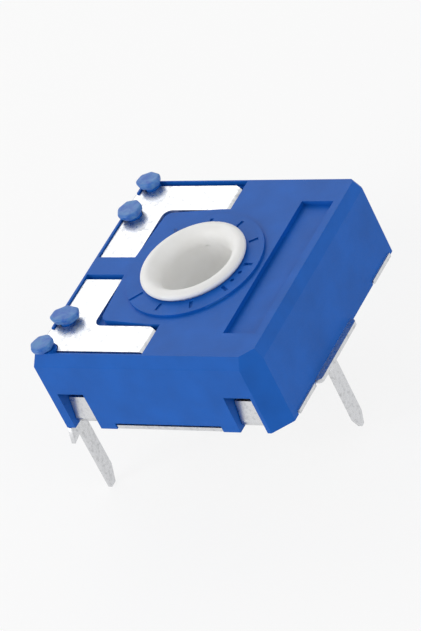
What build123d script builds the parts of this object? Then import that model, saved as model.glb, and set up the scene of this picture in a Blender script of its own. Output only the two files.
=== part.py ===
from build123d import *
import math
import os

# Flat-mounting single-turn trimmer potentiometer, millimetres.
# X runs from the side of the two end terminals to the side of the wiper pin, Y from front to back,
# Z is up. The origin is on the rotor axis, in the plane of the housing's top face.

# ---- housing: outer form ----
BODY_WIDTH = 14.35           # X
BODY_DEPTH = 14.5            # Y
BODY_HEIGHT = 5.35           # top face to the underside of the feet
AXIS_SHIFT = 0.125           # the rotor axis lies this far right of the middle of the body
BEVEL_DROP = 0.77            # steep bevel around the top face
BEVEL_IN_ENDS = 0.25         # how far it comes in at the front and the back
BEVEL_IN_RIGHT = 0.17
BEVEL_IN_LEFT = 0.32
CORNER_CUT = 1.0             # upright corner chamfer at the front right
CORNER_CUT_TOP = 0.65        # the same chamfer in the plane of the top face
CORNER_CUT_BACK = 0.2        # upright corner chamfer at the back right
END_WALL = 1.0               # front and back walls
SIDE_WALL = 0.9              # left and right walls
TOP_WALL = 1.3

# ---- dial, hole and trough in the top face ----
DIAL_RADIUS = 4.05
DIAL_RISE = 0.15
TICK_STEP = 33.5             # degrees between the nine ticks
TICK_WIDTH = 0.2
TICK_DEPTH = 0.08
TICK_LENGTH = 0.55
DOT_RADIUS = 0.12
DOTS_PER_STEP = 3
TROUGH_WIDTH = 2.03
TROUGH_LENGTH = 10.4
TROUGH_DEPTH = 0.3
TROUGH_EDGE = 0.67           # land between the trough and the right side

# ---- rotor ----
NECK_RADIUS = 2.9            # journal in the housing's hole and in the collector plate
RUN_CLEARANCE = 0.05         # radial running clearance of the journal
RIM_RADIUS = 3.08            # rolled rim above the dial
RIM_TOP = 0.62
RIM_LIFT = 0.05              # gap between the rim and the dial
RIM_UNDERCUT = 0.1           # how far the rim's rounding comes in at its foot
RIM_SHOULDER = 0.14          # and at its top
CREST_WIDTH = 0.05           # half of the flat-looking crest of the rim
MOUTH_FLARE = 0.22           # mouth wider than the bore, on the radius
MOUTH_DROP = 0.12            # the mouth's edge below the rim's crest
BORE_RADIUS = 2.2
LIP_RADIUS = 2.12            # retaining lip at the foot of the mouth
LIP_DEPTH = 0.4
LIP_THICKNESS = 0.08
DISC_RADIUS = 4.9
DISC_TOP = 2.3               # depth below the top face
DISC_THICKNESS = 0.9
STOP_LUG_HALF_ANGLE = 8.0
STOP_LUG_LENGTH = 0.6
TRAVEL_HALF = 132.5          # degrees each way from mid travel
STOP_SLACK = 0.5             # degrees left between lug and stop at the end of travel
STOP_GAP = 0.2               # radial gap between the disc and the stop block

# ---- sheet metal ----
SHEET = 0.25
BEND_RADIUS = 0.25           # to the middle of the sheet
FIT = 0.05                   # gap around sheet metal in its recesses

# ---- end terminals ----
PLATE_SUNK = 0.1             # top of the terminals below the top face
ARM_LEFT = 0.27              # from the legs' plane to the arm
ARM_WIDTH = 2.38             # arm along the left side
ARM_TIP_FRONT = 1.0          # its end, from the rotor axis
ARM_TIP_BACK = 0.78
RIB_HALF = 0.7               # rib of the housing between the two arms
CROSS_INNER = 4.65           # arm along the front or back edge
CROSS_RIM = 0.6              # between that arm and the body's side
CROSS_END = -0.05            # its end, from the rotor axis, to the right
POCKET_PLAY = 0.25           # gap between that arm and its pocket's outer wall
POCKET_FLARE = 0.35          # gap at the pocket's inner corner; it closes towards both ends
CROSS_CUT_X = 0.6
CROSS_CUT_Y = 0.35
INNER_FILLET = 0.5
TONGUE_WIDTH = 1.2           # what is left of the arm below its bend
TONGUE_PAST_BOARD = 0.15
STRAP_WIDTH = 0.95
STRAP_POS = 5.47             # middle of the strap over the left edge, from the rotor axis
PIN_WIDTH = 0.85
END_PIN_TAPER = 1.0          # the end pins are tapered on their inner side only
END_TIP_WIDTH = 0.45
END_TIP_Z = 10.5             # depth of the end pins' tips below the top face
WIPER_PIN_TAPER = 0.7
WIPER_TIP_WIDTH = 0.25
WIPER_TIP_Z = 9.75
END_PIN_POS = 6.25           # end pins, each way from the rotor axis
SHOULDER_Z = 6.15            # depth of the stand-off shoulders
SHOULDER_INNER = 0.8         # shoulder beside the pin, towards the rotor axis
SHOULDER_OUTER = 0.85        # and away from it
SPIKE = 0.15                 # how much lower the outer shoulder's point hangs
BLADE_TOP = 2.7              # depth where the strap widens into the blade
BLADE_EDGE = 0.3             # wall left between the blade and the front or back face

# ---- staked studs ----
STUD_RADIUS = 0.45
STUD_X = 0.8                 # from the left side
HEAD_SIZE = 1.6
HEAD_TOP = 0.48
HEAD_LAP = 0.14              # gap between the head and the sheet below it
HEAD_ROUND = 0.4
HEAD_DOME = 0.16
# (front or back, distance from the rotor axis, offset along X, width along X, width along Y, turn in degrees)
HEADS = [
    (1, 6.65, -0.1, HEAD_SIZE - 0.05, HEAD_SIZE - 0.3, 6),
    (1, 4.2, -0.12, HEAD_SIZE - 0.05, HEAD_SIZE - 0.05, -12),
    (-1, 4.3, 0.0, HEAD_SIZE + 0.25, HEAD_SIZE - 0.25, 10),
    (-1, 6.6, -0.3, HEAD_SIZE - 0.2, HEAD_SIZE - 0.15, -8),
]

# ---- lead slots, feet and collector plate ----
SLOT_WIDTH = 1.7
SLOT_TOP = 2.8               # depth of the slots' upper edge
LEFT_SLOT_POST = 0.33        # from the legs' plane to the left slot
RIGHT_SLOT_LAND = 0.25       # land between the right slot and the corner chamfer
FOOT_WIDTH = 1.1             # foot beside each slot
FOOT_RISE = 0.42             # how far the front and back walls stop above the feet
SEAT_LAP = 0.25              # how far the plate reaches under the walls
TAB_STAND = 0.3              # turned-up tab behind the face of the wall, at its foot
TAB_LEAN = 0.33              # how much further back it is at its top
TAB_TOP = 3.65
EDGE_TAB_OUT = 0.1           # the plate's small side tabs beyond the right side
FRONT_EDGE_TAB = (-5.7, -3.6)
BACK_EDGE_TAB = (4.4, 6.65)
WIPER_TAB = (-3.4, 1.36)
WIPER_TAB_OUT = 0.45         # outer face of the wiper pin beyond the right side
WIPER_PIN_POS = -2.03
COLLECTOR_INNER = 3.35
COLLECTOR_OUTER = 4.6
COLLECTOR_RISE = 0.2

# ---- resistor board ----
BOARD = 0.5
BOARD_GAP = 0.1              # between the board and the walls
PRINT = 0.05                 # thickness of the printed layers
TRACK_INNER = 3.7
TRACK_OUTER = 4.7
TRACK_HALF_ANGLE = 134.0

# ---- wiper ----
WIPER_SHEET = 0.15
WIPER_GAP = 0.02             # running gap at its contacts
WIPER_FINGER = 0.35
WIPER_LEG = 0.8

# ---- worked out ----
LEFT_SIDE = -(BODY_WIDTH / 2 + AXIS_SHIFT)
LEFT = LEFT_SIDE + SHEET     # the legs' plane: they lie flush in the left side
RIGHT = BODY_WIDTH / 2 - AXIS_SHIFT
HALF = BODY_DEPTH / 2
RECESS_DEPTH = PLATE_SUNK + SHEET
PLATE_TOP = BODY_HEIGHT - SHEET
INNER_LEFT = LEFT + SIDE_WALL
INNER_RIGHT = RIGHT - SIDE_WALL
INNER_HALF = HALF - END_WALL
HOLE_RADIUS = NECK_RADIUS + RUN_CLEARANCE
CROSS_OUTER = HALF - CROSS_RIM
BLADE_OUTER = HALF - BLADE_EDGE
BLADE_INNER = min(END_PIN_POS - PIN_WIDTH / 2 - SHOULDER_INNER, STRAP_POS - STRAP_WIDTH / 2)
ARM_X0 = LEFT + ARM_LEFT
ARM_X1 = ARM_X0 + ARM_WIDTH
LEFT_SLOT = (LEFT + LEFT_SLOT_POST, LEFT + LEFT_SLOT_POST + SLOT_WIDTH)
RIGHT_SLOT = (RIGHT - CORNER_CUT - RIGHT_SLOT_LAND - SLOT_WIDTH, RIGHT - CORNER_CUT - RIGHT_SLOT_LAND)
DISC_BOTTOM = DISC_TOP + DISC_THICKNESS
TRACK_FACE = TOP_WALL + BOARD + PRINT
WIPER_MID = DISC_TOP - WIPER_SHEET / 2
COLLECTOR_FACE = PLATE_TOP - COLLECTOR_RISE
CUT_PAST = 1.0               # how far a cutting body runs past the face that it opens


def block(x0, x1, y0, y1, z0, z1):
    """A box between two corners."""
    size = Box(abs(x1 - x0), abs(y1 - y0), abs(z1 - z0))
    return Pos((x0 + x1) / 2, (y0 + y1) / 2, (z0 + z1) / 2) * size


def disc(radius, z0, z1):
    """An upright cylinder on the rotor axis."""
    return Pos(0, 0, (z0 + z1) / 2) * Cylinder(radius, abs(z1 - z0))


def plate_xy(points, z0, z1):
    """A flat outline drawn from above, as thick as z0 to z1."""
    outline = Polygon(*points, align=None)
    return Pos(0, 0, (z0 + z1) / 2) * extrude(outline, abs(z1 - z0) / 2, both=True)


def plate_yz(points, x0, x1):
    """A flat outline drawn in Y and Z, as thick as x0 to x1."""
    face = Plane(origin=(x0, 0, 0), x_dir=(0, 1, 0), z_dir=(1, 0, 0)) * Polygon(*points, align=None)
    return extrude(face, x1 - x0, dir=(1, 0, 0))


def strip(points, radius, width, thickness, width_dir):
    """A bent strip of sheet: a flat section swept along straight runs and bends."""
    path = FilletPolyline(*points, radius=radius)
    section = Plane(origin=path @ 0, x_dir=width_dir, z_dir=path % 0) * Rectangle(width, thickness)
    return sweep(section, path=path)


def sector(r0, r1, half_angle, middle, z0, z1):
    """Part of a ring, half_angle each side of the direction middle, in degrees."""
    steps = max(2, math.ceil(half_angle / 20))
    reach = 2 * r1
    fan = [(0, 0)]
    for i in range(-steps, steps + 1):
        a = math.radians(middle + half_angle * i / steps)
        fan.append((reach * math.cos(a), reach * math.sin(a)))
    return (disc(r1, z0, z1) - disc(r0, z0, z1)) & plate_xy(fan, z0, z1)


def body_outline(in_ends, in_left, in_right, corner):
    """The housing seen from above, drawn in at its sides, with the two right corners cut."""
    x0 = LEFT_SIDE + in_left
    x1 = RIGHT - in_right
    y1 = HALF - in_ends
    return Polygon(
        (x0, -y1), (x1 - corner, -y1), (x1, -y1 + corner),
        (x1, y1 - CORNER_CUT_BACK), (x1 - CORNER_CUT_BACK, y1), (x0, y1),
        align=None,
    )


def recess(side, tip_gap_to):
    """The pocket of one end terminal in the top face. side is -1 at the front, 1 at the back."""
    wall = side * (CROSS_OUTER + POCKET_PLAY)
    inner_y = side * (CROSS_INNER - FIT)
    arm = block(ARM_X0 - FIT, ARM_X1 + FIT, side * tip_gap_to, wall, -RECESS_DEPTH, CUT_PAST)
    cross = block(ARM_X0 - FIT, CROSS_END + FIT, inner_y, wall, -RECESS_DEPTH, CUT_PAST)
    corner_x = ARM_X1 + POCKET_FLARE
    corner_y = side * (CROSS_INNER - POCKET_FLARE)
    flare = [(CROSS_END - CROSS_CUT_X, inner_y), (corner_x, corner_y), (ARM_X1 + FIT, side * tip_gap_to),
             (ARM_X1 - FIT, side * tip_gap_to), (ARM_X1 - FIT, side * CROSS_INNER),
             (CROSS_END - CROSS_CUT_X, side * CROSS_INNER)]
    pocket = arm + cross + plate_xy(flare, -RECESS_DEPTH, CUT_PAST)
    inner = pocket.edges().filter_by(Axis.Z).sort_by_distance((corner_x, corner_y, 0))[0]
    pocket = fillet(inner, INNER_FILLET)
    strap_half = STRAP_WIDTH / 2 + FIT
    channel = block(LEFT_SIDE - CUT_PAST, LEFT, side * (STRAP_POS - strap_half),
                    side * (STRAP_POS + strap_half), -BLADE_TOP - SHEET, CUT_PAST)
    blade = block(LEFT_SIDE - CUT_PAST, LEFT, side * (BLADE_INNER - FIT), side * (BLADE_OUTER + FIT),
                  -BODY_HEIGHT - CUT_PAST, -BLADE_TOP + FIT)
    notch = block(LEFT_SIDE - CUT_PAST, ARM_X0, side * (STRAP_POS - strap_half),
                  side * (STRAP_POS + strap_half), -RECESS_DEPTH, CUT_PAST)
    corner = block(LEFT_SIDE - CUT_PAST, LEFT + BEND_RADIUS, side * (STRAP_POS - strap_half),
                   side * (STRAP_POS + strap_half), -RECESS_DEPTH - BEND_RADIUS, 0)
    tongue = block(CROSS_END - SHEET - FIT, CROSS_END + FIT,
                   side * (tongue_middle() - TONGUE_WIDTH / 2 - FIT),
                   side * (tongue_middle() + TONGUE_WIDTH / 2 + FIT), -TOP_WALL - FIT, 0)
    bend = block(CROSS_END - SHEET - BEND_RADIUS - FIT, CROSS_END + FIT, inner_y,
                 side * (CROSS_OUTER + FIT), -RECESS_DEPTH - BEND_RADIUS - FIT, 0)
    return pocket + channel + blade + notch + corner + tongue + bend


def tongue_middle():
    """Distance of the tongue's middle from the rotor axis: it stays inside the wall."""
    return min((CROSS_INNER + CROSS_OUTER) / 2, INNER_HALF - BOARD_GAP - TONGUE_WIDTH / 2 - FIT)


def staked_studs():
    """The four studs and their heads, moulded with the housing and spread over the terminals."""
    studs = []
    for side, pos, offset, wide, deep, turn in HEADS:
        place = Pos(LEFT + STUD_X, side * pos, 0)
        height = RECESS_DEPTH + HEAD_TOP - HEAD_DOME
        studs.append(place * Pos(0, 0, -RECESS_DEPTH + height / 2) * Cylinder(STUD_RADIUS, height))
        rise = HEAD_TOP + PLATE_SUNK - HEAD_LAP
        head = Box(wide, deep, rise)
        head = fillet(head.edges().filter_by(Axis.Z), HEAD_ROUND)
        head = fillet(head.faces().sort_by(Axis.Z)[-1].edges(), HEAD_DOME)
        studs.append(place * Pos(offset, 0, HEAD_TOP - rise / 2) * Rot(0, 0, turn) * head)
    return studs


def dial_marks():
    """Nine ticks around the dial, and four dots close to the rim between two of them."""
    cuts = []
    start = RIM_RADIUS + 2 * FIT
    for i in range(-4, 5):
        length = DIAL_RADIUS - start + FIT if abs(i) == 4 else TICK_LENGTH
        tick = Box(length, TICK_WIDTH, 2 * TICK_DEPTH)
        cuts.append(Pos(0, 0, DIAL_RISE) * Rot(0, 0, i * TICK_STEP) * Pos(start + length / 2, 0, 0) * tick)
    for i in range(DOTS_PER_STEP + 1):
        dot = Cylinder(DOT_RADIUS, 3 * TICK_DEPTH)
        angle = -i * TICK_STEP / DOTS_PER_STEP
        cuts.append(Pos(0, 0, DIAL_RISE) * Rot(0, 0, angle) * Pos(start + DOT_RADIUS, 0, 0) * dot)
    return cuts


def stop_block():
    """Block on the left wall that the rotor's lug meets at both ends of its travel."""
    half_angle = 180 - TRAVEL_HALF - STOP_LUG_HALF_ANGLE - STOP_SLACK
    reach = 2 * abs(INNER_LEFT)
    ring = sector(DISC_RADIUS + STOP_GAP, reach, half_angle, 180, -DISC_BOTTOM, -DISC_TOP)
    inside = block(INNER_LEFT - FIT, 0, -INNER_HALF - FIT, INNER_HALF + FIT, -DISC_BOTTOM, -DISC_TOP)
    return ring & inside


def housing():
    """One moulding: walls, top face with dial, pockets, trough, lead slots, feet and staked studs."""
    walls = Pos(0, 0, -BODY_HEIGHT) * extrude(body_outline(0, 0, 0, CORNER_CUT), BODY_HEIGHT - BEVEL_DROP)
    lower = Pos(0, 0, -BEVEL_DROP) * body_outline(0, 0, 0, CORNER_CUT)
    upper = body_outline(BEVEL_IN_ENDS, BEVEL_IN_LEFT, BEVEL_IN_RIGHT, CORNER_CUT_TOP)
    body = walls + loft([lower, upper], ruled=True)
    body += disc(DIAL_RADIUS, -FIT, DIAL_RISE)
    body -= block(INNER_LEFT, INNER_RIGHT, -INNER_HALF, INNER_HALF, -BODY_HEIGHT - CUT_PAST, -TOP_WALL)
    body -= disc(HOLE_RADIUS, -TOP_WALL - CUT_PAST, CUT_PAST)
    body += stop_block()

    trough_x = RIGHT - TROUGH_EDGE - TROUGH_WIDTH
    body -= block(trough_x, trough_x + TROUGH_WIDTH, -TROUGH_LENGTH / 2, TROUGH_LENGTH / 2,
                  -TROUGH_DEPTH, CUT_PAST)
    for cut in dial_marks():
        body -= cut
    for side in (-1, 1):
        body -= recess(side, RIB_HALF)
        for x0, x1 in (LEFT_SLOT, RIGHT_SLOT):
            body -= block(x0, x1, side * (INNER_HALF - FIT), side * (HALF + CUT_PAST),
                          -BODY_HEIGHT - CUT_PAST, -SLOT_TOP)
        body -= block(LEFT_SLOT[1] + FOOT_WIDTH, RIGHT_SLOT[0] - FOOT_WIDTH, side * (INNER_HALF - FIT),
                      side * (HALF + CUT_PAST), -BODY_HEIGHT - CUT_PAST, -BODY_HEIGHT + FOOT_RISE)
    body -= block(INNER_LEFT - SEAT_LAP - FIT, INNER_RIGHT + SEAT_LAP + FIT,
                  -INNER_HALF - SEAT_LAP - FIT, INNER_HALF + SEAT_LAP + FIT,
                  -BODY_HEIGHT - CUT_PAST, -PLATE_TOP)
    for y0, y1 in (FRONT_EDGE_TAB, BACK_EDGE_TAB, WIPER_TAB):
        body -= block(INNER_RIGHT, RIGHT + CUT_PAST, y0 - FIT, y1 + FIT,
                      -BODY_HEIGHT - CUT_PAST, -PLATE_TOP)
    for stud in staked_studs():
        body += stud
    return body


def end_pin(top):
    """Points of an end pin, as (distance from the rotor axis, depth), down its inner side and up."""
    near = END_PIN_POS - PIN_WIDTH / 2
    far = END_PIN_POS + PIN_WIDTH / 2
    return [(near, -top), (near, -END_TIP_Z + END_PIN_TAPER), (far - END_TIP_WIDTH, -END_TIP_Z),
            (far, -END_TIP_Z), (far, -top)]


def wiper_pin(top):
    """Points of the wiper pin, tapered on both sides, as (Y, depth)."""
    half = PIN_WIDTH / 2
    tip = WIPER_TIP_WIDTH / 2
    bend = -WIPER_TIP_Z + WIPER_PIN_TAPER
    return [(WIPER_PIN_POS + y, z) for y, z in
            [(-half, -top), (-half, bend), (-tip, -WIPER_TIP_Z), (tip, -WIPER_TIP_Z), (half, bend), (half, -top)]]


def end_terminal(side, tip, cut_outer):
    """Folded sheet terminal in the top face, over the left edge and down to its pin."""
    z0 = -RECESS_DEPTH
    z1 = -PLATE_SUNK
    mid = (z0 + z1) / 2
    bend_x = CROSS_END - SHEET / 2 - BEND_RADIUS
    arm = block(ARM_X0, ARM_X1, side * tip, side * CROSS_OUTER, z0, z1)
    cross = block(ARM_X0, bend_x, side * CROSS_INNER, side * CROSS_OUTER, z0, z1)
    sheet = arm + cross
    corner = sheet.edges().filter_by(Axis.Z).sort_by_distance((ARM_X1, side * CROSS_INNER, mid))[0]
    sheet = fillet(corner, INNER_FILLET)

    cross_mid = side * (CROSS_INNER + CROSS_OUTER) / 2
    cross_wide = CROSS_OUTER - CROSS_INNER
    down_x = CROSS_END - SHEET / 2
    start_x = bend_x - SHEET
    fold = strip([(start_x, cross_mid, mid), (down_x, cross_mid, mid),
                  (down_x, cross_mid, mid - BEND_RADIUS - SHEET / 2)],
                 BEND_RADIUS, cross_wide, SHEET, (0, 1, 0))
    tongue_y = side * tongue_middle()
    tongue = block(CROSS_END - SHEET, CROSS_END, tongue_y - TONGUE_WIDTH / 2, tongue_y + TONGUE_WIDTH / 2,
                   -TOP_WALL - BOARD - TONGUE_PAST_BOARD, mid - BEND_RADIUS)
    sheet += [fold, tongue]
    edge = CROSS_OUTER if cut_outer else CROSS_INNER
    inward = -1 if cut_outer else 1
    wedge = [(CROSS_END - CROSS_CUT_X, side * edge), (CROSS_END, side * (edge + inward * CROSS_CUT_Y)),
             (CROSS_END + FIT, side * (edge + inward * CROSS_CUT_Y)),
             (CROSS_END + FIT, side * (edge - inward * FIT)),
             (CROSS_END - CROSS_CUT_X, side * (edge - inward * FIT))]
    sheet -= plate_xy(wedge, -TOP_WALL, CUT_PAST)

    leg_x = LEFT - SHEET / 2
    strap_y = side * STRAP_POS
    sheet += strip([(ARM_X0 + ARM_LEFT, strap_y, mid), (leg_x, strap_y, mid),
                    (leg_x, strap_y, -BLADE_TOP - SHEET)],
                   BEND_RADIUS, STRAP_WIDTH, SHEET, (0, 1, 0))
    pin_in = END_PIN_POS - PIN_WIDTH / 2
    pin_out = END_PIN_POS + PIN_WIDTH / 2
    blade = [
        (STRAP_POS - STRAP_WIDTH / 2, -BLADE_TOP), (STRAP_POS + STRAP_WIDTH / 2, -BLADE_TOP),
        (BLADE_OUTER, -BLADE_TOP - SHEET), (BLADE_OUTER, -BODY_HEIGHT - FIT), (HALF, -BODY_HEIGHT - FIT),
        (pin_out + SHOULDER_OUTER, -SHOULDER_Z - SPIKE), (pin_out + FIT, -SHOULDER_Z), (pin_out, -SHOULDER_Z),
    ]
    blade += end_pin(SHOULDER_Z)[::-1][1:-1]
    blade += [(pin_in, -SHOULDER_Z), (pin_in - SHOULDER_INNER, -SHOULDER_Z)]
    sheet += plate_yz([(side * v, w) for v, w in blade], LEFT - SHEET, LEFT)
    for stud_side, pos, *_ in HEADS:
        if stud_side == side:
            hole = Pos(LEFT + STUD_X, side * pos, mid) * Cylinder(STUD_RADIUS + FIT, 2 * SHEET)
            sheet -= hole
    return sheet


def collector_plate():
    """Bottom plate: seat, collector ring, turned-up tabs in the slots and the wiper pin."""
    z0 = -BODY_HEIGHT
    z1 = -PLATE_TOP
    mid = (z0 + z1) / 2
    x0 = INNER_LEFT - SEAT_LAP
    x1 = INNER_RIGHT + SEAT_LAP
    y1 = INNER_HALF + SEAT_LAP
    plate = block(x0, x1, -y1, y1, z0, z1)
    plate += block(LEFT_SLOT[1] + FOOT_WIDTH + FIT, RIGHT_SLOT[0] - FOOT_WIDTH - FIT,
                   -HALF + FIT, HALF - FIT, z0, z1)
    for tab_y0, tab_y1 in (FRONT_EDGE_TAB, BACK_EDGE_TAB):
        plate += block(x1 - SHEET, RIGHT + EDGE_TAB_OUT, tab_y0, tab_y1, z0, z1)
    shelf = block(x1 - SHEET, RIGHT + WIPER_TAB_OUT - FIT, *WIPER_TAB, z0, z1)
    outer = shelf.edges().filter_by(Axis.Z).sort_by(Axis.X)[-2:]
    plate += fillet(outer, BEND_RADIUS)
    pin_x = RIGHT + WIPER_TAB_OUT - SHEET / 2
    plate += strip([(x1, WIPER_PIN_POS, mid), (pin_x, WIPER_PIN_POS, mid),
                    (pin_x, WIPER_PIN_POS, -BODY_HEIGHT - 2 * SHEET)],
                   BEND_RADIUS, PIN_WIDTH, SHEET, (0, 1, 0))
    plate += plate_yz(wiper_pin(BODY_HEIGHT + SHEET), pin_x - SHEET / 2, pin_x + SHEET / 2)

    foot_y = HALF - TAB_STAND - SHEET / 2
    for side in (-1, 1):
        for slot in (LEFT_SLOT, RIGHT_SLOT):
            slot_x = (slot[0] + slot[1]) / 2
            plate += strip([(slot_x, side * (y1 - SHEET), mid), (slot_x, side * foot_y, mid),
                            (slot_x, side * (foot_y - TAB_LEAN), -TAB_TOP)],
                           BEND_RADIUS, SLOT_WIDTH - 2 * FIT, SHEET, (1, 0, 0))
    plate += disc(COLLECTOR_OUTER, z1 - FIT, -COLLECTOR_FACE) - disc(COLLECTOR_INNER, z0, 0)
    plate -= (disc(COLLECTOR_OUTER - SHEET, z0 - FIT, z0 + COLLECTOR_RISE)
              - disc(COLLECTOR_INNER + SHEET, z0 - FIT, z0 + COLLECTOR_RISE))
    plate -= disc(HOLE_RADIUS, z0 - CUT_PAST, 0)
    return plate


def rotor():
    """Hollow rotor: rolled rim, mouth with a retaining lip, through bore, journal, disc and lug."""
    foot = -BODY_HEIGHT + FIT
    seat = DIAL_RISE + RIM_LIFT
    rim_mid = (seat + RIM_TOP) / 2
    mouth = (BORE_RADIUS + MOUTH_FLARE, RIM_TOP - MOUTH_DROP)
    under = (RIM_RADIUS - RIM_UNDERCUT, seat)
    shoulder = (RIM_RADIUS - RIM_SHOULDER, RIM_TOP - CREST_WIDTH)
    crest = ((mouth[0] + RIM_RADIUS) / 2 + CREST_WIDTH, RIM_TOP)
    with BuildSketch(Plane.XZ) as section:
        with BuildLine():
            Polyline(
                (BORE_RADIUS, foot), (NECK_RADIUS, foot), (NECK_RADIUS, -DISC_BOTTOM),
                (DISC_RADIUS, -DISC_BOTTOM), (DISC_RADIUS, -DISC_TOP), (NECK_RADIUS, -DISC_TOP),
                (NECK_RADIUS, seat), under,
            )
            ThreePointArc(under, (RIM_RADIUS, rim_mid), shoulder)
            ThreePointArc(shoulder, crest, mouth)
            ThreePointArc(mouth, (BORE_RADIUS + FIT, rim_mid - MOUTH_DROP), (LIP_RADIUS, -LIP_DEPTH))
            Polyline((LIP_RADIUS, -LIP_DEPTH), (BORE_RADIUS, -LIP_DEPTH - LIP_THICKNESS), (BORE_RADIUS, foot))
        make_face()
    drum = revolve(section.sketch, Axis.Z)
    drum += sector(DISC_RADIUS - FIT, DISC_RADIUS + STOP_LUG_LENGTH, STOP_LUG_HALF_ANGLE, 0,
                   -DISC_BOTTOM, -DISC_TOP)
    drum -= leg_window(-DISC_BOTTOM - FIT, -DISC_TOP + FIT)
    return drum


def leg_window(z0, z1):
    """Opening on the left of the rotor's disc that lets the wiper's leg down to the collector."""
    middle = -(COLLECTOR_INNER + COLLECTOR_OUTER) / 2
    half = WIPER_LEG / 2 + 2 * FIT
    return block(middle - half, middle + half, -WIPER_LEG, WIPER_LEG, z0, z1)


def wiper_spring():
    """Sprung sheet on the rotor's disc: two fingers up to the track and one leg to the collector."""
    ring = disc(DISC_RADIUS - 3 * FIT, -DISC_TOP, -DISC_TOP + WIPER_SHEET)
    ring -= disc(HOLE_RADIUS + FIT, -DISC_TOP, -DISC_TOP + WIPER_SHEET)
    contact = -(TRACK_FACE + WIPER_GAP + WIPER_SHEET / 2)
    track_mid = (TRACK_INNER + TRACK_OUTER) / 2
    window = block(TRACK_INNER, TRACK_OUTER - FIT, -3 * WIPER_FINGER, 2 * WIPER_FINGER, -DISC_TOP, 0)
    ring -= window
    leg_x = -(COLLECTOR_INNER + COLLECTOR_OUTER) / 2
    ring -= leg_window(-DISC_TOP, 0)
    parts = []
    for offset in (-0.55, 0.55):
        x = track_mid + offset * (TRACK_OUTER - TRACK_INNER) / 2
        parts.append(strip([(x, -4.6 * WIPER_FINGER, -WIPER_MID), (x, -3 * WIPER_FINGER, -WIPER_MID),
                            (x, -WIPER_FINGER / 2, contact), (x, WIPER_FINGER, contact)],
                           WIPER_SHEET, WIPER_FINGER, WIPER_SHEET, (1, 0, 0)))
    shoe = -(COLLECTOR_FACE - WIPER_GAP - WIPER_SHEET / 2)
    parts.append(strip([(leg_x, -1.5 * WIPER_LEG, -WIPER_MID), (leg_x, -0.6 * WIPER_LEG, -WIPER_MID),
                        (leg_x, 0.4 * WIPER_LEG, shoe), (leg_x, 1.5 * WIPER_LEG, shoe)],
                       2 * WIPER_SHEET, WIPER_LEG, WIPER_SHEET, (1, 0, 0)))
    return ring + parts


def resistor_board():
    """Laminated paper board against the top wall, with openings for the terminals' tongues."""
    z0 = -TOP_WALL - BOARD
    board = block(INNER_LEFT + BOARD_GAP, INNER_RIGHT - BOARD_GAP, -INNER_HALF + BOARD_GAP,
                  INNER_HALF - BOARD_GAP, z0, -TOP_WALL)
    board -= disc(HOLE_RADIUS + BOARD_GAP, z0 - FIT, 0)
    for side in (-1, 1):
        y = side * tongue_middle()
        board -= block(CROSS_END - SHEET - FIT, CROSS_END + FIT, y - TONGUE_WIDTH / 2 - FIT,
                       y + TONGUE_WIDTH / 2 + FIT, z0 - FIT, 0)
    return board


def carbon_track():
    """Horseshoe of carbon ink on the underside of the board."""
    return sector(TRACK_INNER, TRACK_OUTER, TRACK_HALF_ANGLE, 0, -TRACK_FACE, -TRACK_FACE + PRINT)


def end_contact(side):
    """Silver ink from the end of the track to the tongue of the terminal."""
    z0 = -TRACK_FACE
    z1 = z0 + PRINT
    angle = math.radians(TRACK_HALF_ANGLE)
    end_x = TRACK_OUTER * math.cos(angle)
    near = TRACK_INNER * math.sin(angle)
    pad_y0 = tongue_middle() - TONGUE_WIDTH / 2 + 4 * FIT
    pad_y1 = tongue_middle() + TONGUE_WIDTH / 2 - FIT
    pad = block(end_x - TONGUE_WIDTH / 2, CROSS_END - SHEET, side * pad_y0, side * pad_y1, z0, z1)
    pad += block(end_x - TONGUE_WIDTH / 2, end_x + TONGUE_WIDTH / 2, side * near, side * pad_y0, z0, z1)
    swept = 2 * TRACK_HALF_ANGLE - 180
    pad -= sector(TRACK_INNER - FIT, TRACK_OUTER + FIT, swept, 0, z0, z1)
    return pad - sector(FIT, TRACK_OUTER, TRACK_HALF_ANGLE, 0, z0, z1)


def main():
    os.makedirs("parts", exist_ok=True)
    nodes = {
        "housing": housing(),
        "rotor": rotor(),
        "terminal_1": end_terminal(-1, ARM_TIP_FRONT, False),
        "terminal_3": end_terminal(1, ARM_TIP_BACK, True),
        "collector_plate": collector_plate(),
        "resistor_board": resistor_board(),
        "carbon_track": carbon_track(),
        "end_contact_1": end_contact(-1),
        "end_contact_3": end_contact(1),
        "wiper_spring": wiper_spring(),
    }
    for name, shape in nodes.items():
        export_step(shape, f"parts/{name}.step")


main()
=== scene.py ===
import math

import bpy
from bpy.props import FloatProperty, FloatVectorProperty, PointerProperty
from mathutils import Matrix, Vector


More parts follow.
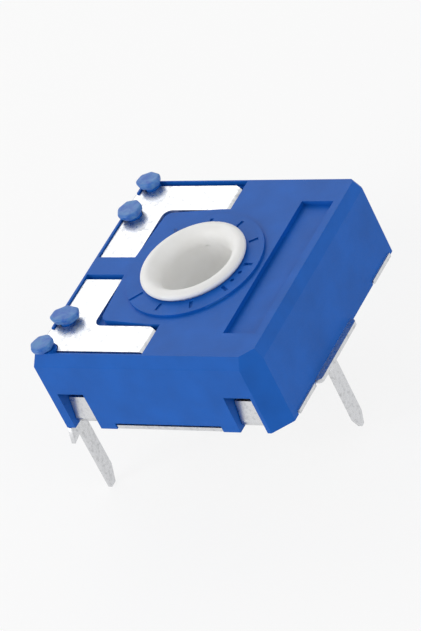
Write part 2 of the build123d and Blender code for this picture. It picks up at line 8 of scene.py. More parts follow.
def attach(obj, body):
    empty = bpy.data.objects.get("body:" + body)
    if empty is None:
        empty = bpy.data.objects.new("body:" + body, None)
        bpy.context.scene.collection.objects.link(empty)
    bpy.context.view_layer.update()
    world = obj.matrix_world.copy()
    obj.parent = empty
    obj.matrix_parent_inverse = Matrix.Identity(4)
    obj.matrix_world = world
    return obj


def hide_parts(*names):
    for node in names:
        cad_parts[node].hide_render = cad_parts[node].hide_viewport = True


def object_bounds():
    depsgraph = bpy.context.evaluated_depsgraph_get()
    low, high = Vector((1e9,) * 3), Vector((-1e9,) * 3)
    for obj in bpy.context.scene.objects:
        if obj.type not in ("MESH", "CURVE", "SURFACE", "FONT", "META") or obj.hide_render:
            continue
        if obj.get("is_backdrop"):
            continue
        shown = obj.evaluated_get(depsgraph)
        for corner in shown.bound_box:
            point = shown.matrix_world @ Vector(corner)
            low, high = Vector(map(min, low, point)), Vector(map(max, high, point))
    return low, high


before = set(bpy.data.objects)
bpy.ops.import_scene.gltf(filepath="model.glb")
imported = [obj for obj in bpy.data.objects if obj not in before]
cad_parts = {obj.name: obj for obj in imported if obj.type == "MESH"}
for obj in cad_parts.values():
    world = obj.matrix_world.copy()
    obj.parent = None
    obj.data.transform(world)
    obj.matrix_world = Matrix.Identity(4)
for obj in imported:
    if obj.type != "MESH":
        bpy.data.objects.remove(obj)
CAD_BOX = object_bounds()

bl_info = {
    "name": "Trimmer Potentiometer",
    "version": (1, 0, 0),
    "blender": (4, 5, 0),
    "location": "View3D > Sidebar > Trimmer",
    "description": "Finishes a flat single-turn trimmer: mouldings, staked heads, sheet metal and stage",
    "category": "Object",
}

MM = 0.001


def linear(code):
    """Turns an sRGB hex colour into linear red, green and blue."""
    parts = [int(code[i:i + 2], 16) / 255 for i in (1, 3, 5)]
    return tuple(p / 12.92 if p <= 0.04045 else ((p + 0.055) / 1.055) ** 2.4 for p in parts)


# ---- what a user would change ----

class TrimmerMouldings(bpy.types.PropertyGroup):
    housing_colour: FloatVectorProperty(
        name="Housing colour", description="Pigment of the housing moulding",
        subtype="COLOR", size=3, min=0, max=1, default=linear("#0A5BB6"))
    rotor_colour: FloatVectorProperty(
        name="Rotor colour", description="Natural colour of the rotor moulding",
        subtype="COLOR", size=3, min=0, max=1, default=linear("#F6F6F5"))
    edge_round: FloatProperty(
        name="Edge rounding", description="Radius that the mould leaves on the housing's outer edges",
        subtype="DISTANCE", unit="LENGTH", min=0.01 * MM, max=0.3 * MM, default=0.05 * MM)
    rim_round: FloatProperty(
        name="Small edge rounding", description="Radius along the edges of recesses, trough and dial",
        subtype="DISTANCE", unit="LENGTH", min=0.005 * MM, max=0.1 * MM, default=0.03 * MM)
    grain: FloatProperty(
        name="Mould grain", description="Size of the fine spark-eroded grain on the mouldings",
        subtype="DISTANCE", unit="LENGTH", min=0.01 * MM, max=1 * MM, default=0.06 * MM)


class TrimmerHeads(bpy.types.PropertyGroup):
    dome: FloatProperty(
        name="Shoulder", description="Rounding of a head's edges, as a share of its height",
        subtype="FACTOR", min=0.05, max=0.5, default=0.34)
    undercut: FloatProperty(
        name="Undercut", description="How far a head's foot is drawn in below its widest line",
        subtype="FACTOR", min=0, max=0.5, default=0.12)
    unevenness: FloatProperty(
        name="Unevenness", description="How far the hot-formed surface wanders from a smooth head",
        subtype="DISTANCE", unit="LENGTH", min=0, max=0.3 * MM, default=0.07 * MM)


class TrimmerSheetMetal(bpy.types.PropertyGroup):
    tin_colour: FloatVectorProperty(
        name="Tin colour", description="Colour of the tin plating",
        subtype="COLOR", size=3, min=0, max=1, default=linear("#D6D7D9"))
    edge_round: FloatProperty(
        name="Edge rounding", description="Radius that punching and plating leave on the sheet's edges",
        subtype="DISTANCE", unit="LENGTH", min=0.005 * MM, max=0.1 * MM, default=0.035 * MM)
    speckle: FloatProperty(
        name="Speckle", description="Size of the matt spots in the tin plating",
        subtype="DISTANCE", unit="LENGTH", min=0.02 * MM, max=2 * MM, default=0.25 * MM)


class TrimmerStage(bpy.types.PropertyGroup):
    azimuth: FloatProperty(
        name="Azimuth", description="Camera's bearing from straight in front, towards the wiper pin's side",
        subtype="ANGLE", default=math.radians(42.9))
    elevation: FloatProperty(
        name="Elevation", description="Camera's height above the horizon",
        subtype="ANGLE", default=math.radians(34.81))
    roll: FloatProperty(
        name="Roll", description="Turn of the camera about its own line of sight",
        subtype="ANGLE", default=math.radians(-27.34))
    distance: FloatProperty(
        name="Distance", description="From the camera to the point it looks at",
        subtype="DISTANCE", unit="LENGTH", min=0.01, default=0.2304)
    aim: FloatVectorProperty(
        name="Aim", description="Point in the middle of the view",
        subtype="XYZ", unit="LENGTH", size=3, default=(-0.17 * MM, -0.57 * MM, -3.13 * MM))
    lens: FloatProperty(
        name="Focal length", description="Camera's focal length in millimetres",
        min=10, max=500, default=241.8)
    lamp_level: FloatProperty(
        name="Lamp level", description="Multiplies every lamp's power", min=0, max=10, default=1.0)
    sky_level: FloatProperty(
        name="Sky level", description="Even light from all round", min=0, max=2, default=0.52)
    floor_size: FloatProperty(
        name="Floor size", description="Side of the square floor",
        subtype="DISTANCE", unit="LENGTH", min=0.05, default=1.2)
    floor_colour: FloatVectorProperty(
        name="Floor colour", description="Colour of the floor",
        subtype="COLOR", size=3, min=0, max=1, default=linear("#F6F6F6"))


# ---- small helpers ----

def select_only(obj):
    """Leaves only obj selected and active."""
    bpy.ops.object.select_all(action="DESELECT")
    obj.select_set(True)
    bpy.context.view_layer.objects.active = obj


def apply_modifier(obj, kind, **settings):
    """Adds one modifier and applies it at once."""
    select_only(obj)
    modifier = obj.modifiers.new(kind.title(), kind)
    for name, value in settings.items():
        setattr(modifier, name, value)
    bpy.ops.object.modifier_apply(modifier=modifier.name)


def settle(obj):
    """Puts the object's place, turn and size into its mesh."""
    select_only(obj)
    bpy.ops.object.transform_apply(location=True, rotation=True, scale=True)


def copy_of(node, name):
    """A merged copy of a CAD node's mesh, with flat areas made single faces."""
    obj = bpy.data.objects.new(name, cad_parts[node].data.copy())
    bpy.context.scene.collection.objects.link(obj)
    obj.data.materials.clear()
    select_only(obj)
    bpy.ops.object.mode_set(mode="EDIT")
    bpy.ops.mesh.select_all(action="SELECT")
    bpy.ops.mesh.remove_doubles(threshold=0.002 * MM)
    bpy.ops.mesh.dissolve_limited(angle_limit=math.radians(0.5))
    bpy.ops.object.mode_set(mode="OBJECT")
    return obj


def round_edges(obj, width, segments, wanted, sharp=math.radians(28)):
    """Rounds the outward sharp edges that wanted(a, b) picks by the places of their ends."""
    select_only(obj)
    bpy.context.tool_settings.mesh_select_mode = (False, True, False)
    mesh = obj.data
    beside = {}
    for face in mesh.polygons:
        for key in face.edge_keys:
            beside.setdefault(key, []).append(face)
    for item in (*mesh.vertices, *mesh.polygons):
        item.select = False
    found = 0
    for edge in mesh.edges:
        faces = beside.get(tuple(sorted(edge.vertices)), [])
        edge.select = False
        if len(faces) != 2 or faces[0].normal.angle(faces[1].normal, 0) < sharp:
            continue
        a, b = (mesh.vertices[i].co for i in edge.vertices)
        side = faces[0].normal.cross((b - a).normalized())
        inner = faces[0].center - (a + b) / 2
        across = side if side.dot(inner) > 0 else -side
        if faces[1].normal.dot(across) < 0 and wanted(a / MM, b / MM):
            edge.select = True
            found += 1
    if found:
        bpy.ops.object.mode_set(mode="EDIT")
        bpy.ops.mesh.bevel(offset=width, segments=segments, profile=0.5, affect="EDGES", clamp_overlap=True)
        bpy.ops.object.mode_set(mode="OBJECT")
    return found


def finish_piece(obj, material, body, angle=40):
    """Smooth shading, material and body of a finished piece."""
    select_only(obj)
    bpy.ops.object.shade_smooth_by_angle(angle=math.radians(angle))
    apply_modifier(obj, "WEIGHTED_NORMAL", keep_sharp=True, weight=80)
    obj.data.materials.clear()
    obj.data.materials.append(material)
    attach(obj, body)


def add(tree, kind, inputs=None, **settings):
    """Adds a node, sets its settings, and sets or links its inputs."""
    made = tree.nodes.new(kind)
    for name, value in settings.items():
        setattr(made, name, value)
    for name, value in (inputs or {}).items():
        if isinstance(value, bpy.types.NodeSocket):
            tree.links.new(value, made.inputs[name])
        else:
            made.inputs[name].default_value = value
    return made


def blank_material(name):
    """An empty node material and its output."""
    material = bpy.data.materials.new(name)
    material.use_nodes = True
    material.node_tree.nodes.clear()
    return material, add(material.node_tree, "ShaderNodeOutputMaterial")


def seen_ray(tree):
    """A node that is 1 for what is seen, mirrored or looked through, and 0 for even light."""
    ray = add(tree, "ShaderNodeLightPath")
    seen = add(tree, "ShaderNodeMath", {0: ray.outputs["Is Camera Ray"], 1: ray.outputs["Is Glossy Ray"]},
               operation="MAXIMUM")
    return add(tree, "ShaderNodeMath", {0: seen.outputs[0], 1: ray.outputs["Is Transmission Ray"]},
               operation="MAXIMUM")


def rgba(colour):
    """A colour with full cover."""
    return (*colour, 1.0)


# ---- materials ----

def moulded_pbt():
    """Blue PBT as moulded: satin, with a fine spark-eroded grain and faint cloudy pigment."""
    look = bpy.context.scene.trimmer_mouldings
    material, output = blank_material("moulded_blue_pbt")
    tree = material.node_tree
    place = add(tree, "ShaderNodeTexCoord").outputs["Object"]
    # Pigment clouds about 2 mm across: the eye sees them only as a soft unevenness.
    clouds = add(tree, "ShaderNodeTexNoise", {"Vector": place, "Scale": 1 / (2 * MM), "Detail": 3.0})
    tone = add(tree, "ShaderNodeValToRGB", {"Fac": clouds.outputs["Fac"]})
    base = look.housing_colour
    tone.color_ramp.elements[0].position = 0.3
    tone.color_ramp.elements[0].color = rgba([c * 0.9 for c in base])
    tone.color_ramp.elements[1].position = 0.7
    tone.color_ramp.elements[1].color = rgba([min(1, c * 1.08) for c in base])
    # Spark-eroded grain of the tool.
    grain = add(tree, "ShaderNodeTexNoise", {"Vector": place, "Scale": 1 / look.grain, "Detail": 2.0})
    rough = add(tree, "ShaderNodeMapRange", {"Value": grain.outputs["Fac"], "From Min": 0.3, "From Max": 0.7,
                                             "To Min": 0.4, "To Max": 0.54})
    bump = add(tree, "ShaderNodeBump", {"Height": grain.outputs["Fac"], "Strength": 0.35,
                                        "Distance": 0.006 * MM})
    shader = add(tree, "ShaderNodeBsdfPrincipled",
                 {"Base Color": tone.outputs["Color"], "Roughness": rough.outputs["Result"],
                  "Normal": bump.outputs["Normal"], "IOR": 1.5, "Specular IOR Level": 0.22})
    tree.links.new(shader.outputs["BSDF"], output.inputs["Surface"])
    return material


def staked_pbt_with_painted_sheen():
    """The same PBT after hot staking: smeared by the hot tool, with random paler patches of painted sheen in
    the colour that the heads' lit tops show.
    """
    look = bpy.context.scene.trimmer_mouldings
    material, output = blank_material("hot_staked_blue_pbt_painted_sheen")
    tree = material.node_tree
    place = add(tree, "ShaderNodeTexCoord").outputs["Object"]
    # Smears about half a millimetre across from the hot tool; the same noise lays the patches of painted
    # sheen.
    smear_and_sheen = add(tree, "ShaderNodeTexNoise", {"Vector": place, "Scale": 1 / (0.5 * MM), "Detail": 4.0,
                                             "Distortion": 0.6})
    tone = add(tree, "ShaderNodeValToRGB", {"Fac": smear_and_sheen.outputs["Fac"]})
    base = look.housing_colour
    tone.color_ramp.elements[0].position = 0.35
    tone.color_ramp.elements[0].color = rgba(base)
    tone.color_ramp.elements[1].position = 0.68
    # The pale end of this ramp is painted sheen: the colour of the heads' lit tops, laid on as pigment.
    tone.color_ramp.elements[1].color = rgba(linear("#5488C2"))
    rough = add(tree, "ShaderNodeMapRange", {"Value": smear_and_sheen.outputs["Fac"], "From Min": 0.3, "From Max": 0.7,
                                             "To Min": 0.3, "To Max": 0.5})
    bump = add(tree, "ShaderNodeBump", {"Height": smear_and_sheen.outputs["Fac"], "Strength": 0.4,
                                        "Distance": 0.03 * MM})
    shader = add(tree, "ShaderNodeBsdfPrincipled",
                 {"Base Color": tone.outputs["Color"], "Roughness": rough.outputs["Result"],
                  "Normal": bump.outputs["Normal"], "IOR": 1.5})
    tree.links.new(shader.outputs["BSDF"], output.inputs["Surface"])
    return material


def moulded_acetal():
    """White acetal as moulded: soft satin white, slightly warmer in its faint flow marks."""
    look = bpy.context.scene.trimmer_mouldings
    material, output = blank_material("moulded_white_acetal")
    tree = material.node_tree
    place = add(tree, "ShaderNodeTexCoord").outputs["Object"]
    flow = add(tree, "ShaderNodeTexNoise", {"Vector": place, "Scale": 1 / (1.2 * MM), "Detail": 2.0})
    tone = add(tree, "ShaderNodeValToRGB", {"Fac": flow.outputs["Fac"]})
    base = look.rotor_colour
    tone.color_ramp.elements[0].position = 0.3
    tone.color_ramp.elements[0].color = rgba([c * f for c, f in zip(base, (0.95, 0.945, 0.93))])
    tone.color_ramp.elements[1].position = 0.7
    tone.color_ramp.elements[1].color = rgba(base)
    grain = add(tree, "ShaderNodeTexNoise", {"Vector": place, "Scale": 1 / look.grain, "Detail": 1.0})
    rough = add(tree, "ShaderNodeMapRange", {"Value": grain.outputs["Fac"], "From Min": 0.3, "From Max": 0.7,
                                             "To Min": 0.34, "To Max": 0.46})
    bump = add(tree, "ShaderNodeBump", {"Height": grain.outputs["Fac"], "Strength": 0.2,
                                        "Distance": 0.004 * MM})
    shader = add(tree, "ShaderNodeBsdfPrincipled",
                 {"Base Color": tone.outputs["Color"], "Roughness": rough.outputs["Result"],
                  "Normal": bump.outputs["Normal"], "IOR": 1.48})
    tree.links.new(shader.outputs["BSDF"], output.inputs["Surface"])
    return material


def tinned_brass():
    """Hot-tinned brass sheet: bright metal, fine rolling lines, matt grey spots from handling."""
    look = bpy.context.scene.trimmer_sheet_metal
    material, output = blank_material("tinned_brass_sheet")
    tree = material.node_tree
    place = add(tree, "ShaderNodeTexCoord").outputs["Object"]
    # Matt spots a quarter of a millimetre across.
    spots = add(tree, "ShaderNodeTexNoise", {"Vector": place, "Scale": 1 / look.speckle, "Detail": 5.0,
                                             "Roughness": 0.65})
    tone = add(tree, "ShaderNodeValToRGB", {"Fac": spots.outputs["Fac"]})
    tone.color_ramp.elements[0].position = 0.3
    tone.color_ramp.elements[0].color = rgba([c * 0.74 for c in look.tin_colour])
    tone.color_ramp.elements[1].position = 0.5
    tone.color_ramp.elements[1].color = rgba(look.tin_colour)
    # Rolling lines along Y, 0.08 mm apart, stretched ten times.
    along = add(tree, "ShaderNodeMapping", {"Vector": place, "Scale": (1.0, 0.1, 1.0)})
    lines = add(tree, "ShaderNodeTexNoise", {"Vector": along.outputs["Vector"], "Scale": 1 / (0.08 * MM),
                                             "Detail": 2.0})
    rough = add(tree, "ShaderNodeMapRange", {"Value": spots.outputs["Fac"], "From Min": 0.35, "From Max": 0.6,
                                             "To Min": 0.45, "To Max": 0.26})
    bump = add(tree, "ShaderNodeBump", {"Height": lines.outputs["Fac"], "Strength": 0.3,
                                        "Distance": 0.004 * MM})
    shader = add(tree, "ShaderNodeBsdfPrincipled",
                 {"Base Color": tone.outputs["Color"], "Roughness": rough.outputs["Result"],
                  "Normal": bump.outputs["Normal"], "Metallic": 1.0})
    tree.links.new(shader.outputs["BSDF"], output.inputs["Surface"])
    return material


def phosphor_bronze():
    """Hard-rolled phosphor bronze strip: warm metal with fine lines along the roll."""
    material, output = blank_material("rolled_phosphor_bronze")
    tree = material.node_tree
    place = add(tree, "ShaderNodeTexCoord").outputs["Object"]
    along = add(tree, "ShaderNodeMapping", {"Vector": place, "Scale": (1.0, 0.08, 1.0)})
    lines = add(tree, "ShaderNodeTexNoise", {"Vector": along.outputs["Vector"], "Scale": 1 / (0.05 * MM),
                                             "Detail": 3.0})
    tone = add(tree, "ShaderNodeValToRGB", {"Fac": lines.outputs["Fac"]})
    tone.color_ramp.elements[0].color = rgba(linear("#B98A5E"))
    tone.color_ramp.elements[1].color = rgba(linear("#DDB184"))
    bump = add(tree, "ShaderNodeBump", {"Height": lines.outputs["Fac"], "Strength": 0.3,
                                        "Distance": 0.003 * MM})
    shader = add(tree, "ShaderNodeBsdfPrincipled",
                 {"Base Color": tone.outputs["Color"], "Roughness": 0.3, "Normal": bump.outputs["Normal"],
                  "Metallic": 1.0})
    tree.links.new(shader.outputs["BSDF"], output.inputs["Surface"])
    return material


def phenolic_paper():
    """Pressed phenolic paper: brown resin with paper fibres about 0.3 mm long."""
    material, output = blank_material("pressed_phenolic_paper")
    tree = material.node_tree
    place = add(tree, "ShaderNodeTexCoord").outputs["Object"]
    stretched = add(tree, "ShaderNodeMapping", {"Vector": place, "Scale": (0.25, 1.0, 1.0)})
    fibres = add(tree, "ShaderNodeTexNoise", {"Vector": stretched.outputs["Vector"], "Scale": 1 / (0.12 * MM),
                                              "Detail": 4.0, "Distortion": 0.4})
    tone = add(tree, "ShaderNodeValToRGB", {"Fac": fibres.outputs["Fac"]})
    tone.color_ramp.elements[0].position = 0.35
    tone.color_ramp.elements[0].color = rgba(linear("#6E4422"))
    tone.color_ramp.elements[1].position = 0.65
    tone.color_ramp.elements[1].color = rgba(linear("#94653A"))
    bump = add(tree, "ShaderNodeBump", {"Height": fibres.outputs["Fac"], "Strength": 0.3,
                                        "Distance": 0.005 * MM})
    shader = add(tree, "ShaderNodeBsdfPrincipled",
                 {"Base Color": tone.outputs["Color"], "Roughness": 0.45, "Normal": bump.outputs["Normal"],
                  "IOR": 1.55})
    tree.links.new(shader.outputs["BSDF"], output.inputs["Surface"])
    return material


def printed_ink(name, dark, light, metallic, roughness):
    """Screen-printed and baked ink: fine filler grains of 0.03 mm, drawn three times coarser to show."""
    material, output = blank_material(name)
    tree = material.node_tree
    place = add(tree, "ShaderNodeTexCoord").outputs["Object"]
    filler = add(tree, "ShaderNodeTexNoise", {"Vector": place, "Scale": 1 / (0.09 * MM), "Detail": 2.0})
    tone = add(tree, "ShaderNodeValToRGB", {"Fac": filler.outputs["Fac"]})
    tone.color_ramp.elements[0].position = 0.35
    tone.color_ramp.elements[0].color = rgba(linear(dark))
    tone.color_ramp.elements[1].position = 0.65
    tone.color_ramp.elements[1].color = rgba(linear(light))
    bump = add(tree, "ShaderNodeBump", {"Height": filler.outputs["Fac"], "Strength": 0.25,
                                        "Distance": 0.004 * MM})
    shader = add(tree, "ShaderNodeBsdfPrincipled",
                 {"Base Color": tone.outputs["Color"], "Roughness": roughness,
                  "Normal": bump.outputs["Normal"], "Metallic": metallic})
    tree.links.new(shader.outputs["BSDF"], output.inputs["Surface"])
    return material


def dress_node(node, material):
    """Gives a CAD node that stays as it is its material."""
    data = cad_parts[node].data
    data.materials.clear()
    data.materials.append(material)


# ---- operators ----

HEADS = [
    # name, place along X and Y, width along X and Y in mm, turn in degrees: the part's four staked heads
    ("staked_head_1_outer", -6.55, -6.6, 1.4, 1.45, -8),
    ("staked_head_1_inner", -6.25, -4.3, 1.85, 1.35, 10),
    ("staked_head_3_inner", -6.37, 4.2, 1.55, 1.55, -12),
    ("staked_head_3_outer", -6.35, 6.65, 1.55, 1.3, 6),
]
HEAD_TOP = 0.48
HEAD_FOOT = 0.04
HEAD_SIDES = 7
HEAD_SPREAD = 1.06      # the blank is cut this much wider, because its rounding takes some off
HEAD_CUTTER = (2.2, 1.95, 1.0)
CUT_BELOW_FOOT = 0.01

# Places on the housing, in mm: its top face is at Z = 0.
LEVEL = 0.01            # how near Z = 0 still counts as the top face
BEVEL_FOOT = -0.77      # foot of the steep bevel around the top face
FRONT_LINE = -6.9       # the front top edge, in front of this, stays sharp beside the outer stud
RING_Y = 6.9            # the outer edges lie beyond these
RING_LEFT = -6.9
RING_RIGHT = 6.3
UPRIGHT_FROM = 6.0      # upright edges nearer the axis than this are inside
WALL_FACE = 7.2         # slots and feet open in the faces beyond this
LONG_EDGE = 0.5         # shortest outer edge that is rounded
SHORT_EDGE = 0.3        # and the shortest edge of a recess or slot


class TRIMMER_OT_housing(bpy.types.Operator):
    """Make the housing moulding with its rounded outer edges"""
    bl_idname = "trimmer.housing"
    bl_label = "Housing moulding"

    def execute(self, context):
        look = context.scene.trimmer_mouldings
        piece = copy_of("housing", "housing_moulding")
        bpy.ops.object.select_all(action="DESELECT")
        # The four heads are cut off here and made again as their own hot-formed pieces.
        for name, x, y, wide, deep, turn in HEADS:
            middle = HEAD_FOOT - CUT_BELOW_FOOT + HEAD_CUTTER[2] / 2
            bpy.ops.mesh.primitive_cube_add(size=1, location=(x * MM, y * MM, middle * MM))
            tool = context.active_object
            tool.scale = [v * MM for v in HEAD_CUTTER]
            settle(tool)
            apply_modifier(piece, "BOOLEAN", operation="DIFFERENCE", object=tool, solver="EXACT")
            bpy.data.objects.remove(tool)

        def outer(a, b):
            """Long edges of the body's outside."""
            on_top = all(-LEVEL < v.z < LEVEL for v in (a, b)) and max(a.y, b.y) > FRONT_LINE
            on_bevel = all(abs(v.z - BEVEL_FOOT) < 2 * LEVEL for v in (a, b))
            upright = abs(a.z - b.z) > LONG_EDGE and max(abs(a.x), abs(a.y)) > UPRIGHT_FROM
            edge_ring = all(abs(v.y) > RING_Y or v.x > RING_RIGHT or v.x < RING_LEFT for v in (a, b))
            long = (a - b).length > LONG_EDGE
            return long and edge_ring and (on_top or on_bevel or upright)

        def small(a, b):
            """Edges of trough, recesses, dial, slots and feet."""
            top = all(-LEVEL < v.z < LEVEL for v in (a, b)) and max(a.y, b.y) > FRONT_LINE
            slots = all(abs(v.y) > WALL_FACE for v in (a, b))
            return (a - b).length > SHORT_EDGE and (top or slots)

        round_edges(piece, look.edge_round, 2, outer, sharp=math.radians(12))
        round_edges(piece, look.rim_round, 2, small)
        finish_piece(piece, moulded_pbt(), "base", angle=15)
        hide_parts("housing")
        return {"FINISHED"}


class TRIMMER_OT_staked_heads(bpy.types.Operator):
    """Make the four hot-staked heads over the end terminals"""
    bl_idname = "trimmer.staked_heads"
    bl_label = "Staked heads"

    def execute(self, context):
        look = context.scene.trimmer_heads
        # Blue PBT with random patches of painted sheen.
        material = staked_pbt_with_painted_sheen()
        uneven = bpy.data.textures.new("hot_formed", "CLOUDS")
        uneven.noise_scale = 0.9 * MM
        rise = HEAD_TOP - HEAD_FOOT
        for name, x, y, wide, deep, turn in HEADS:
            bpy.ops.object.select_all(action="DESELECT")
            bpy.ops.mesh.primitive_cylinder_add(vertices=HEAD_SIDES, radius=0.5, depth=1)
            piece = context.active_object
            piece.name = name
            piece.scale = (wide * HEAD_SPREAD * MM, deep * HEAD_SPREAD * MM, rise * MM)
            piece.rotation_euler.z = math.radians(turn)
            piece.location = (x * MM, y * MM, (HEAD_FOOT + rise / 2) * MM)
            settle(piece)
            # The hot tool leaves a nearly flat top with a soft shoulder, and squeezes the foot in a little.
            bpy.context.tool_settings.mesh_select_mode = (False, True, False)
            middle = Vector((x * MM, y * MM, 0))
            for vertex in piece.data.vertices:
                if vertex.co.z < (HEAD_FOOT + 0.01) * MM:
                    vertex.co.x += (middle.x - vertex.co.x) * look.undercut
                    vertex.co.y += (middle.y - vertex.co.y) * look.undercut
            bpy.ops.object.mode_set(mode="EDIT")
            bpy.ops.mesh.select_all(action="SELECT")
            bpy.ops.mesh.bevel(offset=rise * look.dome * MM, segments=3, profile=0.5, affect="EDGES",
                               clamp_overlap=True)
            bpy.ops.object.mode_set(mode="OBJECT")
            apply_modifier(piece, "TRIANGULATE")
            apply_modifier(piece, "REMESH", mode="VOXEL", voxel_size=0.045 * MM)
            apply_modifier(piece, "DISPLACE", texture=uneven, strength=look.unevenness, mid_level=0.5,
                           texture_coords="LOCAL")
            apply_modifier(piece, "SMOOTH", factor=0.5, iterations=3)
            for vertex in piece.data.vertices:
                vertex.co.x = max(vertex.co.x, CAD_BOX[0].x)
            finish_piece(piece, material, "base", angle=60)
        return {"FINISHED"}


class TRIMMER_OT_rotor(bpy.types.Operator):
    """Make the hollow rotor moulding"""
    bl_idname = "trimmer.rotor"
    bl_label = "Rotor moulding"

    def execute(self, context):
        piece = copy_of("rotor", "rotor_moulding")
        finish_piece(piece, moulded_acetal(), "rotor", angle=35)
        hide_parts("rotor")
        return {"FINISHED"}


class TRIMMER_OT_sheet_metal(bpy.types.Operator):
    """Make the two end terminals and the collector plate with softened punched edges"""
    bl_idname = "trimmer.sheet_metal"
    bl_label = "Tinned sheet metal"

    def execute(self, context):
        look = context.scene.trimmer_sheet_metal
        material = tinned_brass()
        for node in ("terminal_1", "terminal_3", "collector_plate"):
            piece = copy_of(node, node + "_sheet")
            round_edges(piece, look.edge_round, 2, lambda a, b: True)
            finish_piece(piece, material, "base")
            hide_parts(node)
        return {"FINISHED"}


class TRIMMER_OT_inner_parts(bpy.types.Operator):
    """Give the board, its prints and the wiper their materials"""
    bl_idname = "trimmer.inner_parts"
    bl_label = "Inner parts"

    def execute(self, context):
        silver = printed_ink("printed_silver_ink", "#9C9C98", "#C4C4C0", 0.8, 0.5)
        dress_node("resistor_board", phenolic_paper())
        dress_node("carbon_track", printed_ink("printed_carbon_ink", "#141416", "#26262A", 0.0, 0.6))
        dress_node("end_contact_1", silver)
        dress_node("end_contact_3", silver)
        dress_node("wiper_spring", phosphor_bronze())
        return {"FINISHED"}


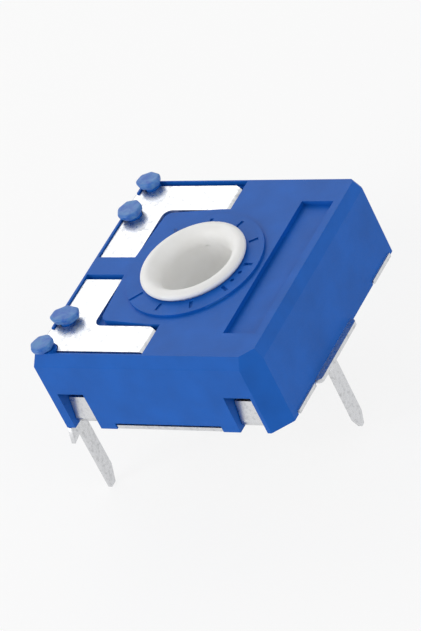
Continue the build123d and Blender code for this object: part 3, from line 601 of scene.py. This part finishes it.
class TRIMMER_OT_stage(bpy.types.Operator):
    """Set up the floor, the soft lamps, the sky and the camera"""
    bl_idname = "trimmer.stage"
    bl_label = "Stage"

    def execute(self, context):
        stage = context.scene.trimmer_stage
        self.floor(context, stage)
        self.sky(context, stage)
        # name, direction from the part, distance, side of the lamp, power: small soft boxes close by
        lamps = [
            ("key_lamp", (-0.45, -0.75, 0.55), 0.36, 0.26, 0.22),
            ("back_lamp", (-0.6, 0.6, 0.57), 0.36, 0.3, 0.27),
            ("low_lamp", (-0.62, -0.72, 0.28), 0.36, 0.18, 0.3),
            ("fill_lamp", (0.95, -0.2, 0.3), 0.4, 0.3, 0.36),
        ]
        for name, toward, distance, size, power in lamps:
            data = bpy.data.lights.new(name, "AREA")
            data.size = size
            data.energy = power * stage.lamp_level
            lamp = bpy.data.objects.new(name, data)
            direction = Vector(toward).normalized()
            lamp.location = direction * distance
            lamp.rotation_mode = "QUATERNION"
            lamp.rotation_quaternion = (-direction).to_track_quat("-Z", "Y")
            context.scene.collection.objects.link(lamp)
        self.camera(context, stage)
        context.scene.view_settings.view_transform = "Standard"
        return {"FINISHED"}

    def floor(self, context, stage):
        bpy.ops.object.select_all(action="DESELECT")
        bpy.ops.mesh.primitive_plane_add(size=stage.floor_size, location=(0, 0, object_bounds()[0].z))
        floor = context.active_object
        floor.name = "floor"
        settle(floor)
        material, output = blank_material("pale_floor")
        tree = material.node_tree
        seen = seen_ray(tree)
        share = add(tree, "ShaderNodeMath", {0: seen.outputs[0], 1: 0.8}, operation="MULTIPLY")
        matt = add(tree, "ShaderNodeBsdfDiffuse", {"Color": rgba(stage.floor_colour)})
        white = add(tree, "ShaderNodeEmission", {"Color": (1, 1, 1, 1), "Strength": 1.0})
        mix = add(tree, "ShaderNodeMixShader", {0: share.outputs[0], 1: matt.outputs[0], 2: white.outputs[0]})
        tree.links.new(mix.outputs[0], output.inputs["Surface"])
        floor.data.materials.append(material)
        floor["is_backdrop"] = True

    def sky(self, context, stage):
        world = bpy.data.worlds.new("soft_sky")
        context.scene.world = world
        world.use_nodes = True
        tree = world.node_tree
        tree.nodes.clear()
        seen = seen_ray(tree)
        even = add(tree, "ShaderNodeBackground", {"Color": (1, 1, 1, 1), "Strength": stage.sky_level})
        white = add(tree, "ShaderNodeBackground", {"Color": (1, 1, 1, 1), "Strength": 1.0})
        mix = add(tree, "ShaderNodeMixShader", {0: seen.outputs[0], 1: even.outputs[0], 2: white.outputs[0]})
        output = add(tree, "ShaderNodeOutputWorld")
        tree.links.new(mix.outputs[0], output.inputs["Surface"])

    def camera(self, context, stage):
        data = bpy.data.cameras.new("camera")
        data.lens = stage.lens
        data.sensor_width = 36
        data.clip_start = 0.01
        camera = bpy.data.objects.new("camera", data)
        context.scene.collection.objects.link(camera)
        context.scene.camera = camera
        flat = math.cos(stage.elevation)
        back = Vector((math.sin(stage.azimuth) * flat, -math.cos(stage.azimuth) * flat,
                       math.sin(stage.elevation)))
        right = Vector((0, 0, 1)).cross(back).normalized()
        up = back.cross(right)
        turned = Matrix.Rotation(stage.roll, 3, back)
        right, up = turned @ right, turned @ up
        axes = Matrix((right, up, back)).transposed()
        camera.matrix_world = Matrix.Translation(Vector(stage.aim) + back * stage.distance) @ axes.to_4x4()


class TRIMMER_PT_panel(bpy.types.Panel):
    """Lists the pieces of the trimmer potentiometer"""
    bl_label = "Trimmer potentiometer"
    bl_idname = "TRIMMER_PT_panel"
    bl_space_type = "VIEW_3D"
    bl_region_type = "UI"
    bl_category = "Trimmer"

    def draw(self, context):
        scene = context.scene
        for settings, operators in PANEL_ROWS:
            box = self.layout.box()
            for operator in operators:
                box.operator(operator.bl_idname)
            group = getattr(scene, settings, None)
            if group is not None:
                for name in group.__annotations__:
                    box.prop(group, name)


PANEL_ROWS = [
    ("trimmer_mouldings", (TRIMMER_OT_housing, TRIMMER_OT_rotor)),
    ("trimmer_heads", (TRIMMER_OT_staked_heads,)),
    ("trimmer_sheet_metal", (TRIMMER_OT_sheet_metal,)),
    ("", (TRIMMER_OT_inner_parts,)),
    ("trimmer_stage", (TRIMMER_OT_stage,)),
]
GROUPS = {
    "trimmer_mouldings": TrimmerMouldings,
    "trimmer_heads": TrimmerHeads,
    "trimmer_sheet_metal": TrimmerSheetMetal,
    "trimmer_stage": TrimmerStage,
}
CLASSES = [*GROUPS.values(), TRIMMER_OT_housing, TRIMMER_OT_staked_heads, TRIMMER_OT_rotor,
           TRIMMER_OT_sheet_metal, TRIMMER_OT_inner_parts, TRIMMER_OT_stage, TRIMMER_PT_panel]


def register():
    for cls in CLASSES:
        bpy.utils.register_class(cls)
    for name, group in GROUPS.items():
        setattr(bpy.types.Scene, name, PointerProperty(type=group))


def unregister():
    for name in GROUPS:
        delattr(bpy.types.Scene, name)
    for cls in reversed(CLASSES):
        bpy.utils.unregister_class(cls)


def main():
    register()
    bpy.ops.trimmer.housing()
    bpy.ops.trimmer.staked_heads()
    bpy.ops.trimmer.rotor()
    bpy.ops.trimmer.sheet_metal()
    bpy.ops.trimmer.inner_parts()
    bpy.ops.trimmer.stage()


if __name__ == "__main__":
    main()
